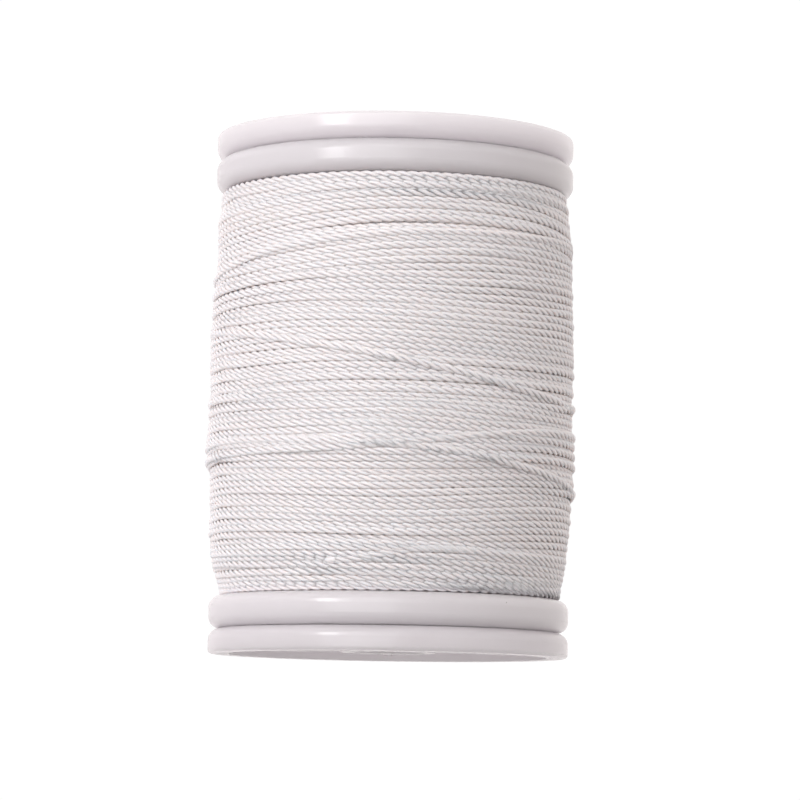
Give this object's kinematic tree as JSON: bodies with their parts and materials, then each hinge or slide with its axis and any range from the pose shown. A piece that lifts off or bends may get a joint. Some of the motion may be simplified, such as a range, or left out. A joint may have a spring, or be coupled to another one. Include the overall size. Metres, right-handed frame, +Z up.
{
  "type": "string reel",
  "caption": "Twin-flange plastic reel wound with twisted string; a sliding snap cap at each end traps the string's tail in a groove.",
  "frame": {"origin": "centre of the lower cap's standing face", "axes": "+Z up along the reel's axis, -Y towards the front, +X to the right"},
  "size_m": [0.0412, 0.0412, 0.058],
  "materials": {
    "milky_plastic": "satin",
    "string": "silky"
  },
  "bodies": {
    "reel": {"core_tube": "milky_plastic", "lower_flange": "milky_plastic", "upper_flange": "milky_plastic", "string_anchor_knot": "string", "string_inner_layers": "string", "string_outer_layers": "string", "string_free_end": "string"},
    "lower_cap": {"lower_snap_cap": "milky_plastic"},
    "upper_cap": {"upper_snap_cap": "milky_plastic"}
  },
  "joints": [
    {"name": "lower_cap_slide", "type": "slide", "parent": "reel", "child": "lower_cap", "axis": [0, 0, -1], "range_m": [0, 0.0015]},
    {"name": "upper_cap_slide", "type": "slide", "parent": "reel", "child": "upper_cap", "axis": [0, 0, 1], "range_m": [0, 0.0015]}
  ]
}
